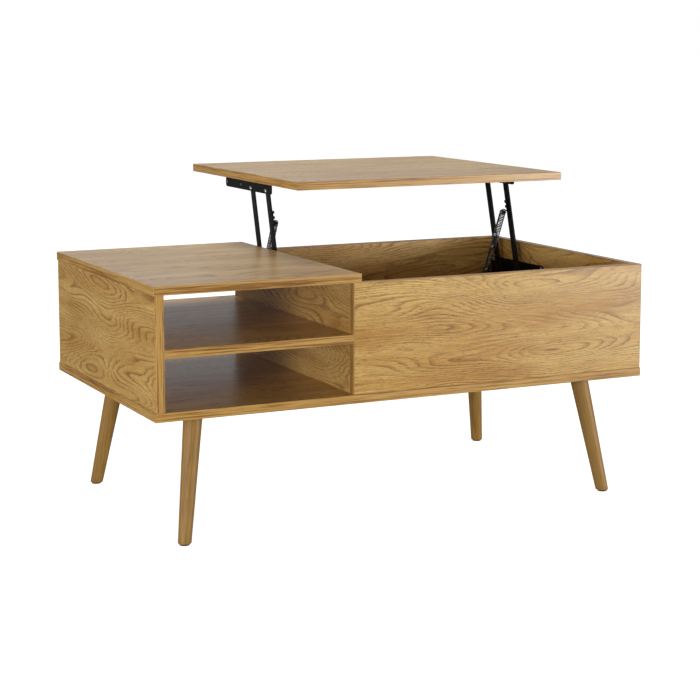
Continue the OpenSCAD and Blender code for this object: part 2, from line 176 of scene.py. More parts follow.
@dataclass(frozen=True)
class OakLaminate:
    """Particle board faced with an oak-print decor paper under satin melamine.

    The print copies flat-sawn oak: jagged arches and islands of darker early wood, bundles of
    fibre and short pores. The melamine gives an even satin sheen that turns pale at low angles.
    Sizes in pairs run along the grain and across it.
    """

    name: str = "oak_laminate"
    pale: str = "#d9b36a"
    warm: str = "#bd8d47"
    early_wood: str = "#875719"
    pore: str = "#6e4717"
    # the ground drifts between pale and warm over a hand's width
    drift_mm: tuple[float, float] = (300, 45)
    # contour lines of a slow, stretched noise are the arches and islands
    figure_mm: tuple[float, float] = (420, 92)
    figure_rings: float = 31
    ring_pitch_mm: float = 15
    # the cut steps from fibre to fibre, so that arches get teeth along the grain
    tooth_mm: tuple[float, float] = (160, 8)
    tooth_reach_mm: float = 30
    # some rings are bold and others all but vanish
    patch_mm: tuple[float, float] = (140, 28)
    ring_strength: float = 0.82
    # bundles of fibre leave fine streaks, lighter and darker
    bundle_mm: tuple[float, float] = (30, 1.3)
    # pores are really 0.3 mm wide: drawn at 0.7 mm, so that they show from across a room
    pore_mm: tuple[float, float] = (8.5, 0.7)
    pore_strength: float = 0.72
    # and they crowd together in the early wood
    pore_crowding: float = 0.11
    # the pressed surface follows the print, a quarter of a millimetre deep, and shows only faintly
    relief_mm: float = 0.25
    roughness: float = 0.30

    def build(self) -> bpy.types.Material:
        """Builds the material, laid out by the grain attribute: along, across and a board's own seed.

        Returns:
            The material.
        """
        material, tree, shader = new_material(self.name)
        grain = add(tree, "ShaderNodeAttribute", attribute_name=GRAIN).outputs["Vector"]
        early = self._early_wood(tree, grain)
        drift = self._remap(tree, self._noise(tree, grain, self.drift_mm, detail=3), 0.33, 0.67, 0.0, 1.0)
        ground = self._mix(tree, drift, linear(self.pale), linear(self.warm))
        ring = self._times(tree, early, self.ring_strength)
        ringed = self._mix(tree, ring, ground, linear(self.early_wood))
        bundle = self._noise(tree, grain, self.bundle_mm, detail=3, roughness=0.62)
        fibred = self._shade(tree, ringed, self._remap(tree, bundle, 0.30, 0.70, 0.74, 1.22))
        speck = self._noise(tree, grain, self.pore_mm, detail=1)
        both = {0: early, 1: self.pore_crowding, 2: speck}
        crowded = add(tree, "ShaderNodeMath", both, operation="MULTIPLY_ADD").outputs[0]
        pores = self._remap(tree, crowded, 0.60, 0.70, 0.0, self.pore_strength)
        tree.links.new(self._mix(tree, pores, fibred, linear(self.pore)), shader.inputs["Base Color"])
        gloss = self._remap(tree, bundle, 0.3, 0.7, self.roughness - 0.03, self.roughness + 0.05)
        tree.links.new(gloss, shader.inputs["Roughness"])
        raised = self._times(tree, bundle, 0.35)
        relief = add(tree, "ShaderNodeMath", {0: raised, 1: pores}, operation="SUBTRACT").outputs[0]
        self._emboss(tree, shader, relief, 0.18)
        return material

    def _early_wood(self, tree: bpy.types.NodeTree, grain: bpy.types.NodeSocket) -> bpy.types.NodeSocket:
        """Draws the growth rings where a flat cut opens them.

        Args:
            tree: The node tree.
            grain: The grain vector, in metres.

        Returns:
            How much early wood shows, from 0 to 1.
        """
        half_reach = self.tooth_reach_mm * MM / 2
        tooth = self._noise(tree, grain, self.tooth_mm, detail=1.5)
        step = self._remap(tree, tooth, 0.0, 1.0, -half_reach, half_reach)
        shift = add(tree, "ShaderNodeCombineXYZ", {"X": step}).outputs[0]
        jagged = add(tree, "ShaderNodeVectorMath", {0: grain, 1: shift}, operation="ADD").outputs[0]
        figure = self._noise(tree, jagged, self.figure_mm, detail=1.2, roughness=0.4)
        across = add(tree, "ShaderNodeSeparateXYZ", {0: grain}).outputs["Y"]
        slope = self._times(tree, across, 1 / (self.ring_pitch_mm * MM))
        line = self._ring_line(tree, figure, self.figure_rings, slope, 0.52)
        sharp = add(tree, "ShaderNodeMath", {0: line, 1: 1.5}, operation="POWER").outputs[0]
        patch = self._noise(tree, grain, self.patch_mm, detail=2)
        strength = self._remap(tree, patch, 0.36, 0.58, 0.22, 1.0)
        return add(tree, "ShaderNodeMath", {0: sharp, 1: strength}, operation="MULTIPLY").outputs[0]

    def _ring_line(
        self, tree: bpy.types.NodeTree, value: bpy.types.NodeSocket, rings: float,
        offset: bpy.types.NodeSocket, width: float,
    ) -> bpy.types.NodeSocket:
        """Draws a line at each whole number, sharp on one side and fading on the other, as rings do.

        Args:
            tree: The node tree.
            value: The socket to draw the contour lines of.
            rings: How many rings one unit of it holds.
            offset: A socket in rings that is added to it.
            width: The line's share of the ring, where it fades.

        Returns:
            The line, from 0 to 1.
        """
        count = {0: value, 1: rings, 2: offset}
        ring = add(tree, "ShaderNodeMath", count, operation="MULTIPLY_ADD").outputs[0]
        phase = add(tree, "ShaderNodeMath", {0: ring}, operation="FRACT").outputs[0]
        tail = self._remap(tree, phase, 0.0, width, 1.0, 0.0)
        onset = self._remap(tree, phase, 0.92, 1.0, 0.0, 1.0)
        return add(tree, "ShaderNodeMath", {0: tail, 1: onset}, operation="MAXIMUM").outputs[0]

    def _emboss(
        self, tree: bpy.types.NodeTree, shader: bpy.types.Node, relief: bpy.types.NodeSocket, strength: float
    ) -> None:
        """Gives a shader a relief of this finish's own depth.

        Args:
            tree: The node tree.
            shader: The principled shader.
            relief: The height, from 0 to 1.
            strength: How much of the relief shows.
        """
        depth = self.relief_mm * MM
        bump = add(tree, "ShaderNodeBump", {"Strength": strength, "Distance": depth, "Height": relief})
        tree.links.new(bump.outputs[0], shader.inputs["Normal"])

    @staticmethod
    def _times(tree: bpy.types.NodeTree, value: bpy.types.NodeSocket, factor: float) -> bpy.types.NodeSocket:
        """A socket times a number."""
        return add(tree, "ShaderNodeMath", {0: value, 1: factor}, operation="MULTIPLY").outputs[0]

    @staticmethod
    def _remap(
        tree: bpy.types.NodeTree, value: bpy.types.NodeSocket, low: float, high: float,
        to_low: float, to_high: float,
    ) -> bpy.types.NodeSocket:
        """A socket moved from one range of numbers to another, and held inside it."""
        return add(tree, "ShaderNodeMapRange", {0: value, 1: low, 2: high, 3: to_low, 4: to_high}).outputs[0]

    @staticmethod
    def _mix(
        tree: bpy.types.NodeTree, share: bpy.types.NodeSocket,
        first: bpy.types.NodeSocket | tuple[float, ...], second: tuple[float, ...],
    ) -> bpy.types.NodeSocket:
        """Two colours mixed by a share of the second."""
        return add(tree, "ShaderNodeMix", {0: share, 6: first, 7: second}, data_type="RGBA").outputs[2]

    @staticmethod
    def _shade(
        tree: bpy.types.NodeTree, colour: bpy.types.NodeSocket, shade: bpy.types.NodeSocket
    ) -> bpy.types.NodeSocket:
        """A colour made darker or lighter by a factor."""
        settings = {"data_type": "RGBA", "blend_type": "MULTIPLY"}
        return add(tree, "ShaderNodeMix", {0: 1.0, 6: colour, 7: shade}, **settings).outputs[2]

    @staticmethod
    def _noise(
        tree: bpy.types.NodeTree, vector: bpy.types.NodeSocket, size_mm: tuple[float, float],
        detail: float = 2, roughness: float = 0.5,
    ) -> bpy.types.NodeSocket:
        """Noise stretched along the grain.

        Args:
            tree: The node tree.
            vector: The grain vector, in metres.
            size_mm: Size of a feature along the grain and across it.
            detail: Octaves of finer noise.
            roughness: Strength of the finer octaves.

        Returns:
            The noise, from 0 to 1.
        """
        along, across = size_mm
        # boards differ by less than one in the third number, so that it is spread out
        scale = (1 / (along * MM), 1 / (across * MM), SEED_SPREAD)
        scaled = add(tree, "ShaderNodeVectorMath", {0: vector, 1: scale}, operation="MULTIPLY").outputs[0]
        inputs = {"Vector": scaled, "Scale": 1.0, "Detail": detail, "Roughness": roughness}
        return add(tree, "ShaderNodeTexNoise", inputs).outputs[0]


@dataclass(frozen=True)
class EdgeBand(OakLaminate):
    """Thin oak-print band ironed on to the edges: straight, warmer streaks along each edge."""

    name: str = "edge_band"
    pale: str = "#b98d49"
    light: str = "#cba25b"
    streak: str = "#99682b"
    deep: str = "#75501f"
    # streaks a few millimetres wide and as long as a forearm, and finer ones between them
    streak_mm: tuple[float, float] = (300, 3.4)
    fine_mm: tuple[float, float] = (50, 1.2)
    fine_share: float = 0.4
    relief_mm: float = 0.2
    roughness: float = 0.34

    def build(self) -> bpy.types.Material:
        """Builds the material.

        Returns:
            The material.
        """
        material, tree, shader = new_material(self.name)
        grain = add(tree, "ShaderNodeAttribute", attribute_name=GRAIN).outputs["Vector"]
        streaks = self._noise(tree, grain, self.streak_mm, roughness=0.55)
        broad = self._times(tree, streaks, 1 - self.fine_share)
        fine = self._noise(tree, grain, self.fine_mm, detail=3)
        both = {0: fine, 1: self.fine_share, 2: broad}
        mixed = add(tree, "ShaderNodeMath", both, operation="MULTIPLY_ADD").outputs[0]
        stops = [
            (0.36, self.deep), (0.44, self.streak), (0.50, self.pale),
            (0.60, self.light), (0.67, self.streak),
        ]
        tree.links.new(ramp(tree, mixed, stops), shader.inputs["Base Color"])
        self._emboss(tree, shader, fine, 0.15)
        shader.inputs["Roughness"].default_value = self.roughness
        return material


@dataclass(frozen=True)
class TurnedWood(OakLaminate):
    """Hardwood turned on a lathe, sanded and lacquered: close, straight grain along the leg."""

    name: str = "turned_wood"
    pale: str = "#ad8645"
    warm: str = "#926b31"
    early_wood: str = "#775425"
    drift_mm: tuple[float, float] = (350, 20)
    bundle_mm: tuple[float, float] = (30, 1.0)
    ring_strength: float = 0.38
    relief_mm: float = 0.2
    roughness: float = 0.5
    sheen: float = 0.3
    # growth rings stand 4 mm apart about a pith that lies beside the leg, and wander slowly
    ring_mm: float = 4.2
    pith_mm: float = 38
    wander_mm: tuple[float, float] = (300, 50)
    wander_rings: float = 5.0

    def build(self) -> bpy.types.Material:
        """Builds the material: rings about a pith, cut by the turned surface.

        Returns:
            The material.
        """
        material, tree, shader = new_material(self.name)
        grain = add(tree, "ShaderNodeAttribute", attribute_name=GRAIN).outputs["Vector"]
        apart = add(tree, "ShaderNodeSeparateXYZ", {0: grain})
        beside = {0: apart.outputs["Y"], 1: self.pith_mm * MM}
        off_pith = add(tree, "ShaderNodeMath", beside, operation="ADD").outputs[0]
        level = add(tree, "ShaderNodeCombineXYZ", {"X": off_pith, "Y": apart.outputs["Z"]}).outputs[0]
        reach = add(tree, "ShaderNodeVectorMath", {0: level}, operation="LENGTH").outputs["Value"]
        wander = self._times(tree, self._noise(tree, grain, self.wander_mm), self.wander_rings)
        early = self._ring_line(tree, reach, 1 / (self.ring_mm * MM), wander, 0.55)
        drift = self._noise(tree, grain, self.drift_mm)
        ground = self._mix(tree, drift, linear(self.pale), linear(self.warm))
        ring = self._times(tree, early, self.ring_strength)
        ringed = self._mix(tree, ring, ground, linear(self.early_wood))
        fibre = self._noise(tree, grain, self.bundle_mm, detail=3)
        colour = self._shade(tree, ringed, self._remap(tree, fibre, 0.3, 0.7, 0.80, 1.12))
        tree.links.new(colour, shader.inputs["Base Color"])
        self._emboss(tree, shader, fibre, 0.2)
        shader.inputs["Roughness"].default_value = self.roughness
        shader.inputs["Specular IOR Level"].default_value = self.sheen
        return material


@dataclass(frozen=True)
class CoatedSteel:
    """Pressed steel under powder coat: a fine orange-peel skin with a soft, low gloss."""

    name: str = "black_powder_coat"
    colour: str = "#0b0b0c"
    roughness: float = 0.46
    sheen: float = 0.16
    # the peel shows as a slight unevenness in the highlights, and dust dulls them in patches
    peel_mm: float = 0.9
    peel_depth_mm: float = 0.08
    dust_mm: float = 22

    def build(self) -> bpy.types.Material:
        """Builds the material.

        Returns:
            The material.
        """
        material, tree, shader = new_material(self.name)
        spot = add(tree, "ShaderNodeTexCoord").outputs["Object"]
        size = {"Vector": spot, "Scale": 1 / (self.peel_mm * MM), "Detail": 2.0}
        peel = add(tree, "ShaderNodeTexNoise", size).outputs[0]
        size = {"Vector": spot, "Scale": 1 / (self.dust_mm * MM), "Detail": 3.0}
        dust = add(tree, "ShaderNodeTexNoise", size).outputs[0]
        spread = {0: dust, 1: 0.3, 2: 0.7, 3: self.roughness - 0.06, 4: self.roughness + 0.08}
        tree.links.new(add(tree, "ShaderNodeMapRange", spread).outputs[0], shader.inputs["Roughness"])
        depth = self.peel_depth_mm * MM
        bump = add(tree, "ShaderNodeBump", {"Strength": 0.25, "Distance": depth, "Height": peel})
        tree.links.new(bump.outputs[0], shader.inputs["Normal"])
        shader.inputs["Base Color"].default_value = linear(self.colour)
        shader.inputs["Specular IOR Level"].default_value = self.sheen
        return material


@dataclass(frozen=True)
class ZincPlate:
    """Steel or die-cast zinc under bright zinc plate: cool, slightly mottled metal."""

    name: str = "zinc_plate"
    colour: str = "#c3c6ca"
    dull: str = "#979a9f"
    roughness: float = 0.26
    # passivated zinc clouds over in patches a few millimetres wide
    cloud_mm: float = 2.9

    def build(self) -> bpy.types.Material:
        """Builds the material.

        Returns:
            The material.
        """
        material, tree, shader = new_material(self.name)
        spot = add(tree, "ShaderNodeTexCoord").outputs["Object"]
        size = {"Vector": spot, "Scale": 1 / (self.cloud_mm * MM), "Detail": 3.0}
        cloud = add(tree, "ShaderNodeTexNoise", size).outputs[0]
        colour = ramp(tree, cloud, [(0.35, self.dull), (0.6, self.colour)])
        tree.links.new(colour, shader.inputs["Base Color"])
        spread = {0: cloud, 1: 0.3, 2: 0.7, 3: self.roughness + 0.12, 4: self.roughness}
        tree.links.new(add(tree, "ShaderNodeMapRange", spread).outputs[0], shader.inputs["Roughness"])
        shader.inputs["Metallic"].default_value = 1.0
        return material


@dataclass(frozen=True)
class MouldedPlastic:
    """Injection-moulded plastic with a fine spark-eroded texture."""

    name: str = "moulded_plastic"
    colour: str = "#2a231c"
    worn: str = "#3a3128"
    roughness: float = 0.55
    # spark erosion leaves grains of half a millimetre
    erosion_mm: float = 0.5
    erosion_depth_mm: float = 0.1

    def build(self) -> bpy.types.Material:
        """Builds the material.

        Returns:
            The material.
        """
        material, tree, shader = new_material(self.name)
        spot = add(tree, "ShaderNodeTexCoord").outputs["Object"]
        size = {"Vector": spot, "Scale": 1 / (self.erosion_mm * MM), "Detail": 1.0}
        erosion = add(tree, "ShaderNodeTexNoise", size).outputs[0]
        depth = self.erosion_depth_mm * MM
        bump = add(tree, "ShaderNodeBump", {"Strength": 0.2, "Distance": depth, "Height": erosion})
        tree.links.new(bump.outputs[0], shader.inputs["Normal"])
        colour = ramp(tree, erosion, [(0.3, self.colour), (0.8, self.worn)])
        tree.links.new(colour, shader.inputs["Base Color"])
        shader.inputs["Roughness"].default_value = self.roughness
        return material


@dataclass(frozen=True)
class GlueLine(MouldedPlastic):
    """The hairline of set glue between a face and its edge band: matt and brown."""

    name: str = "glue_line"
    colour: str = "#7a5730"
    worn: str = "#8a6538"
    roughness: float = 0.7


@dataclass(frozen=True)
class LitAcrylic:
    """White opal acrylic sheet, matt and lit from below, so that shadows on it stay faint."""

    name: str = "white_acrylic"
    tone: str = "#8e8e8d"
    glow: float = 1.0
    dim: str = "#fcfcfb"
    bright: str = "#fefefd"
    # the lamps under the sheet leave it uneven over a third of a metre, barely to be seen
    uneven_mm: float = 333
    roughness: float = 0.9
    sheen: float = 0.1

    def build(self) -> bpy.types.Material:
        """Builds the material.

        Returns:
            The material.
        """
        material, tree, shader = new_material(self.name)
        spot = add(tree, "ShaderNodeTexCoord").outputs["Object"]
        size = {"Vector": spot, "Scale": 1 / (self.uneven_mm * MM), "Detail": 2.0}
        uneven = add(tree, "ShaderNodeTexNoise", size).outputs[0]
        white = ramp(tree, uneven, [(0.3, self.dim), (0.7, self.bright)])
        tree.links.new(white, shader.inputs["Emission Color"])
        shader.inputs["Emission Strength"].default_value = self.glow
        shader.inputs["Base Color"].default_value = linear(self.tone)
        shader.inputs["Roughness"].default_value = self.roughness
        shader.inputs["Specular IOR Level"].default_value = self.sheen
        return material


# ---- mesh making -----------------------------------------------------------------------------


def place(mesh: bmesh.types.BMesh, matrix: Matrix) -> bmesh.types.BMesh:
    """Moves a mesh, and turns its faces right side out where the matrix mirrors it.

    Args:
        mesh: The mesh.
        matrix: Where it goes.

    Returns:
        The same mesh, moved.
    """
    mesh.transform(matrix)
    if matrix.determinant() < 0:
        bmesh.ops.reverse_faces(mesh, faces=mesh.faces)
    return mesh


def join(meshes: Iterable[bmesh.types.BMesh]) -> bmesh.types.BMesh:
    """Gathers several meshes into one and frees them.

    Args:
        meshes: The meshes.

    Returns:
        The whole.
    """
    whole = bmesh.new()
    for mesh in meshes:
        part = bpy.data.meshes.new("part")
        mesh.to_mesh(part)
        mesh.free()
        whole.from_mesh(part)
        bpy.data.meshes.remove(part)
    return whole


def loft(loops: Sequence[Sequence[Vector]], capped: bool = True, closed: bool = False) -> bmesh.types.BMesh:
    """Skins a row of loops that have the same number of points.

    Args:
        loops: The loops, in order, each counterclockwise as seen from the last one.
        capped: Whether the first and last loop are filled.
        closed: Whether the last loop joins the first one, as on a ring.

    Returns:
        The skinned mesh, with its normals turned outwards.
    """
    mesh = bmesh.new()
    rows = [[mesh.verts.new(point) for point in loop] for loop in loops]
    pairs = list(zip(rows, rows[1:])) + ([(rows[-1], rows[0])] if closed else [])
    for lower, upper in pairs:
        for i in range(len(lower)):
            j = (i + 1) % len(lower)
            mesh.faces.new((lower[i], lower[j], upper[j], upper[i]))
    if capped and not closed:
        mesh.faces.new(list(reversed(rows[0])))
        mesh.faces.new(rows[-1])
    bmesh.ops.recalc_face_normals(mesh, faces=mesh.faces)
    return mesh


def circle(radius: float, height: float, count: int) -> list[Vector]:
    """Points round the z axis at one height."""
    turn = 2 * math.pi / count
    return [Vector((radius * math.cos(i * turn), radius * math.sin(i * turn), height)) for i in range(count)]


def turned(profile: Sequence[tuple[float, float]], count: int = 40) -> bmesh.types.BMesh:
    """Turns a profile of (radius, height) pairs about the z axis."""
    return loft([circle(max(radius, 1e-5), height, count) for radius, height in profile])


def quarter(radius: float, steps: int) -> list[tuple[float, float]]:
    """A quarter round as (out, up) pairs, from (0, 0) curving to (radius, radius)."""
    angles = [math.pi / 2 * i / steps for i in range(steps + 1)]
    return [(radius * math.sin(a), radius * (1 - math.cos(a))) for a in angles]


def tube(path: Sequence[Vector], radius: float, sides: int = 8, closed: bool = False) -> bmesh.types.BMesh:
    """Sweeps a round section along a path, without twist.

    Args:
        path: The path's points.
        radius: The section's radius.
        sides: Number of sides of the section.
        closed: Whether the path is a ring.

    Returns:
        The swept mesh.
    """
    count = len(path)
    last = count - 1
    loops = []
    side = Vector((1.0, 0.0, 0.0))
    for i, point in enumerate(path):
        before = path[(i - 1) % count] if closed or i else path[0]
        after = path[(i + 1) % count] if closed or i < last else path[last]
        ahead = (after - before).normalized()
        side = side - ahead * side.dot(ahead)
        if side.length < 1e-6:
            side = ahead.orthogonal()
        side.normalize()
        up = ahead.cross(side)
        turn = 2 * math.pi / sides
        loops.append([
            point + (side * math.cos(k * turn) + up * math.sin(k * turn)) * radius for k in range(sides)
        ])
    return loft(loops, capped=not closed, closed=closed)


def carve(body: bmesh.types.BMesh, cutter: bmesh.types.BMesh) -> bmesh.types.BMesh:
    """Cuts one mesh out of another with an exact boolean, and frees both.

    Args:
        body: The mesh that is cut.
        cutter: The mesh that is taken away.

    Returns:
        What is left of the body.
    """
    objects = []
    for mesh in (body, cutter):
        data = bpy.data.meshes.new("carve")
        mesh.to_mesh(data)
        mesh.free()
        objects.append(bpy.data.objects.new("carve", data))
        bpy.context.scene.collection.objects.link(objects[-1])
    cut = objects[0].modifiers.new("cut", "BOOLEAN")
    cut.operation = "DIFFERENCE"
    cut.solver = "EXACT"
    cut.object = objects[1]
    graph = bpy.context.evaluated_depsgraph_get()
    result = bmesh.new()
    result.from_mesh(objects[0].evaluated_get(graph).to_mesh())
    for item in objects:
        bpy.data.objects.remove(item)
    return result


def show(
    mesh: bmesh.types.BMesh, name: str, body: str, materials: Sequence[bpy.types.Material],
    nodes: Sequence[str] = (), sharp_degrees: float = 35, even_normals: bool = False,
) -> bpy.types.Object:
    """Turns a mesh into a piece of the table.

    Args:
        mesh: The mesh, in the table's frame. It is freed.
        name: The piece's name.
        body: The CAD body that it rides on.
        materials: Its materials, in the order of its faces' material numbers.
        nodes: The CAD nodes that it stands for.
        sharp_degrees: Edges that fold more than this stay sharp.
        even_normals: Whether large faces keep flat shading beside small rounded edges.

    Returns:
        The new object.
    """
    for face in mesh.faces:
        face.smooth = True
    for edge in mesh.edges:
        if len(edge.link_faces) == 2:
            edge.smooth = edge.calc_face_angle(0.0) < math.radians(sharp_degrees)
    data = bpy.data.meshes.new(name)
    mesh.to_mesh(data)
    mesh.free()
    for material in materials:
        data.materials.append(material)
    piece = bpy.data.objects.new(name, data)
    bpy.context.scene.collection.objects.link(piece)
    if even_normals:
        evener = piece.modifiers.new("even_normals", "WEIGHTED_NORMAL")
        evener.keep_sharp = True
    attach(piece, body)
    if nodes:
        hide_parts(*nodes)
    LOG.info("%s on %s, %d faces", name, body, len(data.polygons))
    return piece


def dress(node: str, material: bpy.types.Material, bevel_mm: float = 0.0) -> None:
    """Gives a CAD node its finish.

    Args:
        node: The CAD node's name.
        material: Its material.
        bevel_mm: Radius that its sharp edges are eased by, or 0 to leave them.
    """
    item = frame["nodes"][node]
    item.data.materials.clear()
    item.data.materials.append(material)
    if bevel_mm:
        ease = item.modifiers.new("ease", "BEVEL")
        ease.width = bevel_mm * MM
        ease.segments = 2
        ease.limit_method = "ANGLE"
        ease.angle_limit = math.radians(40)
    LOG.info("%s dressed in %s", node, material.name)


# ---- finishes in use -------------------------------------------------------------------------


@dataclass(frozen=True)
class Finishes:
    """Every finish of the table, built once."""

    laminate: bpy.types.Material = field(default_factory=lambda: OakLaminate().build())
    band: bpy.types.Material = field(default_factory=lambda: EdgeBand().build())
    glue: bpy.types.Material = field(default_factory=lambda: GlueLine().build())
    leg: bpy.types.Material = field(default_factory=lambda: TurnedWood().build())
    beech: bpy.types.Material = field(
        default_factory=lambda: TurnedWood("dowel_beech", "#d9bd92", "#cda878", "#b98f5f").build()
    )
    steel: bpy.types.Material = field(default_factory=lambda: CoatedSteel().build())
    spring: bpy.types.Material = field(
        default_factory=lambda: ZincPlate("spring_wire", "#8d8f93", "#5c5e62", 0.2).build()
    )
    zinc: bpy.types.Material = field(default_factory=lambda: ZincPlate().build())
    cast: bpy.types.Material = field(
        default_factory=lambda: ZincPlate("die_cast_zinc", "#9b9da1", "#777a7f", 0.42).build()
    )
    glide: bpy.types.Material = field(default_factory=lambda: MouldedPlastic().build())


# ---- the carcass and the lift top ------------------------------------------------------------


@dataclass
class Board:
    """One laminated board: two printed faces, banded edges and a hairline of glue between them."""

    node: str
    body: str
    thickness: Axis
    length: Axis
    finishes: Finishes
    seed: float = 0.0
    turned_round: bool = False
    ease_mm: float = 0.7
    band_mm: float = 1.0
    glue_mm: float = 0.2
    glue_depth_mm: float = 0.08

    def build(self) -> bpy.types.Object:
        """Builds the board in the place of its CAD node.

        Returns:
            The board.
        """
        low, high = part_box(self.node)
        mesh = bmesh.new()
        bmesh.ops.create_cube(mesh, size=1.0)
        mesh.transform(Matrix.Translation((low + high) / 2) @ Matrix.Diagonal((*(high - low), 1.0)))
        bmesh.ops.bevel(
            mesh, geom=mesh.edges[:], offset=self.ease_mm * MM, segments=3, profile=0.5, affect="EDGES"
        )
        axis = self.thickness.value
        largest = sorted(mesh.faces, key=lambda face: face.calc_area())[-2:]
        for face in mesh.faces:
            face.material_index = 1
        ease = self.ease_mm * MM
        bmesh.ops.inset_individual(mesh, faces=largest, thickness=self.band_mm * MM - ease / 2)
        glued = bmesh.ops.inset_individual(
            mesh, faces=largest, thickness=self.glue_mm * MM, depth=-self.glue_depth_mm * MM
        )
        for face in glued["faces"]:
            face.material_index = 2
        bmesh.ops.inset_individual(
            mesh, faces=largest, thickness=self.glue_mm * MM / 2, depth=self.glue_depth_mm * MM
        )
        for face in largest:
            face.material_index = 0
        self._lay_grain(mesh, axis)
        looks = (self.finishes.laminate, self.finishes.band, self.finishes.glue)
        return show(
            mesh, self.node + "_board", self.body, looks, [self.node], even_normals=True
        )

    def _lay_grain(self, mesh: bmesh.types.BMesh, axis: int) -> None:
        """Writes the grain attribute: along and across the print, and the board's own seed.

        Args:
            mesh: The board's mesh.
            axis: The index of the thickness.
        """
        layer = mesh.loops.layers.float_vector.new(GRAIN)
        way = -1.0 if self.turned_round else 1.0
        for face in mesh.faces:
            facing = max(range(3), key=lambda i: abs(face.normal[i]))
            if facing == axis:
                along = self.length.value
                across = 3 - axis - along
            else:
                along, across = 3 - axis - facing, axis
            printed = self.seed + (0.4 if face.normal[facing] > 0 else 0.0) + facing
            for loop in face.loops:
                point = loop.vert.co
                loop[layer] = Vector((way * point[along] + self.seed * 3.1, point[across], printed))


@dataclass
class Carcass:
    """The fixed boards: bottom, walls, fixed top and shelf."""

    finishes: Finishes

    def build(self) -> None:
        """Builds every fixed board."""
        flat, upright, crosswise = Axis.HEIGHT, Axis.WIDTH, Axis.DEPTH
        plan = [
            ("bottom_panel", flat, Axis.WIDTH, 0.13, False),
            ("fixed_top", flat, Axis.WIDTH, 0.71, False),
            ("shelf", flat, Axis.WIDTH, 1.37, False),
            ("left_side_panel", upright, Axis.DEPTH, 2.11, True),
            ("divider_panel", upright, Axis.DEPTH, 2.83, False),
            ("right_side_panel", upright, Axis.DEPTH, 3.59, False),
            ("front_panel", crosswise, Axis.WIDTH, 4.23, False),
            ("back_panel", crosswise, Axis.WIDTH, 5.07, True),
        ]
        for node, thickness, length, seed, turned_round in plan:
            Board(node, "carcass", thickness, length, self.finishes, seed, turned_round).build()


@dataclass
class Fittings:
    """What holds the carcass together: dowels, cam bolts and cam locks."""

    finishes: Finishes
    cam_radius_mm: float = 7.5
    cam_depth_mm: float = 12.0
    cam_proud_mm: float = 0.35
    cam_rim_mm: tuple[float, float, float] = (0.3, 1.2, 1.5)
    cross_mm: float = 5.0
    cross_slot_mm: float = 1.4
    cross_depth_mm: float = 3.0
    thickest_wall_mm: float = 50.0

    def build(self) -> None:
        """Dresses the hidden fittings and builds the visible faces of the cam locks."""
        for node in ("panel_dowels", "corner_dowels", "shelf_dowels"):
            dress(node, self.finishes.beech)
        dress("cam_bolts", self.finishes.zinc)
        spots = self._cam_spots()
        head = self._cam_head()
        heads = [place(head.copy(), spot) for spot in spots]
        head.free()
        show(join(heads), "cam_lock_faces", "carcass", [self.finishes.cast], ["cam_locks"])

    def _cam_head(self) -> bmesh.types.BMesh:
        """Builds one cam's face, standing on the xy plane.

        Returns:
            The cam, with its screwdriver cross.
        """
        radius, proud, depth = self.cam_radius_mm * MM, self.cam_proud_mm * MM, self.cam_depth_mm * MM
        ease, land, dish = (radius - inset * MM for inset in self.cam_rim_mm)
        body = turned([
            (0, -depth), (radius, -depth), (radius, proud / 2), (ease, proud), (land, proud),
            (dish, proud / 3), (0, proud / 3),
        ])
        cutter = cross_cutter(self.cross_mm * MM, self.cross_slot_mm * MM, self.cross_depth_mm * MM)
        return carve(body, cutter)

    def _cam_spots(self) -> list[Matrix]:
        """Finds the cams from the CAD node's separate housings.

        Returns:
            Where each cam's face stands, with z out of its housing.
        """
        spots = []
        for low, high in islands("cam_locks"):
            size, middle = high - low, (low + high) / 2
            axis = min(range(3), key=lambda i: size[i])
            inward = self._opening_side(middle, axis)
            face = middle.copy()
            face[axis] = (high if inward > 0 else low)[axis]
            out = Vector((0.0, 0.0, 0.0))
            out[axis] = inward
            spots.append(Matrix.Translation(face) @ out.to_track_quat("Z", "Y").to_matrix().to_4x4())
        return spots

    def _opening_side(self, middle: Vector, axis: int) -> int:
        """Which way a housing opens: off the middle of the board that holds it.

        Args:
            middle: The housing's middle.
            axis: The index of its depth.

        Returns:
            1 where it opens along the axis, and -1 where it opens against it.
        """
        walls = ("left_side_panel", "divider_panel", "right_side_panel", "front_panel", "back_panel")
        for wall in walls:
            low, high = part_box(wall)
            inside = all(low[i] <= middle[i] <= high[i] for i in range(3))
            if inside and (high - low)[axis] < self.thickest_wall_mm * MM:
                return 1 if middle[axis] > (low + high)[axis] / 2 else -1
        raise ValueError(f"no wall holds the cam at {tuple(middle)}")


def islands(node: str) -> list[tuple[Vector, Vector]]:
    """Finds the separate solids of a CAD node.

    Args:
        node: The CAD node's name.

    Returns:
        The lowest and highest corner of each solid, in a fixed order.
    """
    mesh = bmesh.new()
    mesh.from_mesh(frame["nodes"][node].data)
    bmesh.ops.remove_doubles(mesh, verts=mesh.verts, dist=1e-5)
    left, found = set(mesh.verts), []
    while left:
        stack = [left.pop()]
        group = list(stack)
        while stack:
            for edge in stack.pop().link_edges:
                for vert in edge.verts:
                    if vert in left:
                        left.remove(vert)
                        stack.append(vert)
                        group.append(vert)
        low = Vector([min(vert.co[i] for vert in group) for i in range(3)])
        high = Vector([max(vert.co[i] for vert in group) for i in range(3)])
        found.append((low, high))
    mesh.free()
    return sorted(found, key=lambda pair: tuple(round(value, 5) for value in pair[0]))


